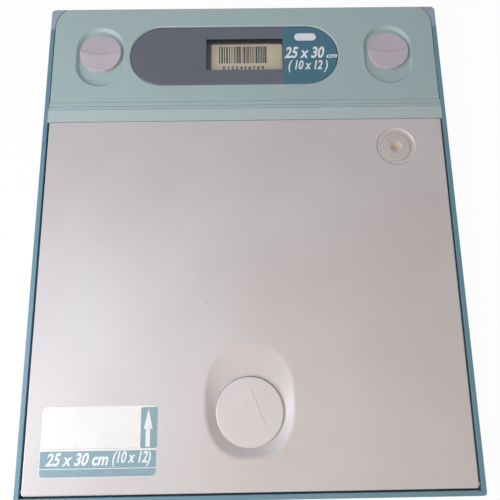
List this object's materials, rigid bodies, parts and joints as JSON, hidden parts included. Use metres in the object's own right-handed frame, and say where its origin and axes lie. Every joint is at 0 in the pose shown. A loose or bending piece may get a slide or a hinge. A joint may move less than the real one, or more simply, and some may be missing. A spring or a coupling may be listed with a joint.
{
  "type": "x-ray film cassette",
  "caption": "Flat x-ray cassette with a hinged lid, sliding thumb locks, a barcode window and an imaging plate inside.",
  "frame": {"origin": "centre of the outer outline, on the tube-side face that it lies on", "axes": "+X across the width, +Y from the hinge end to the lock end, +Z out of the lid"},
  "size_m": [0.281, 0.332, 0.015],
  "materials": {
    "rail_paint": "teal coated aluminium extrusion, satin",
    "end_grey": "grey moulded plastic, fine matt",
    "panel_silver": "silver coated aluminium sheet, matt",
    "cap_teal": "blue-green moulded plastic, fine matt",
    "button_white": "off-white moulded plastic, satin",
    "name_dark": "dark grey printed plate, satin",
    "clear_pane": "clear acrylic",
    "black_plastic": "black moulded plastic",
    "bright_steel": "pressed spring steel and zinc plated steel",
    "lead_grey": "thin lead foil, dull",
    "black_foam": "black foam and felt",
    "plate_white": "white phosphor plate with a clear coat",
    "plate_grey": "grey radiolucent tube-side sheet",
    "core_foam": "rigid radiolucent foam",
    "label_paper": "white film label",
    "code_paper": "cream paper label with black bars"
  },
  "bodies": {
    "casing": {"left_rail": "rail_paint", "right_rail": "rail_paint", "hinge_rail": "rail_paint", "corner_key_left": "black_plastic", "corner_key_right": "black_plastic", "end_piece": "end_grey", "frame_screws": "bright_steel", "keeper_left": "bright_steel", "keeper_right": "bright_steel", "keeper_screws": "bright_steel", "hinge_pins": "bright_steel", "front_plate": "plate_grey", "foam_core": "core_foam", "felt_liner": "black_foam", "imaging_plate": "plate_white", "barcode_label": "code_paper", "light_seals": "black_foam"},
    "lid": {"lid_panel": "panel_silver", "centre_seat": "panel_silver", "hinge_block_left": "black_plastic", "hinge_block_right": "black_plastic", "paper_label": "label_paper", "button_retainer": "black_plastic", "centre_button_spring": "bright_steel", "end_cap": "cap_teal", "nameplate": "name_dark", "window_shroud": "black_plastic", "window_pane": "clear_pane", "lock_cover": "black_plastic", "cover_screws": "bright_steel", "lead_foil": "lead_grey", "pressure_pad": "black_foam", "lid_liner": "black_foam", "left_lock_spring": "bright_steel", "right_lock_spring": "bright_steel"},
    "centre_button": {"centre_button": "panel_silver"},
    "left_lock": {"left_lock_button": "button_white", "left_lock_slide": "black_plastic", "left_lock_hook": "bright_steel"},
    "right_lock": {"right_lock_button": "button_white", "right_lock_slide": "black_plastic", "right_lock_hook": "bright_steel"}
  },
  "joints": [
    {"name": "lid_hinge", "type": "hinge", "parent": "casing", "child": "lid", "pos_m": [0, -0.1593, 0.012], "axis": [1, 0, 0], "range_deg": [0, 100]},
    {"name": "left_lock_slide", "type": "slide", "parent": "lid", "child": "left_lock", "axis": [0, -1, 0], "range_m": [0, 0.007], "stiffness_N_per_m": 300, "springref_m": -0.002, "deforming": ["left_lock_spring"]},
    {"name": "right_lock_slide", "type": "slide", "parent": "lid", "child": "right_lock", "axis": [0, -1, 0], "range_m": [0, 0.007], "stiffness_N_per_m": 300, "springref_m": -0.002, "deforming": ["right_lock_spring"]},
    {"name": "centre_button_press", "type": "slide", "parent": "lid", "child": "centre_button", "axis": [0, 0, -1], "range_m": [0, 0.0008], "stiffness_N_per_m": 2000, "springref_m": -0.001, "deforming": ["centre_button_spring"]}
  ]
}
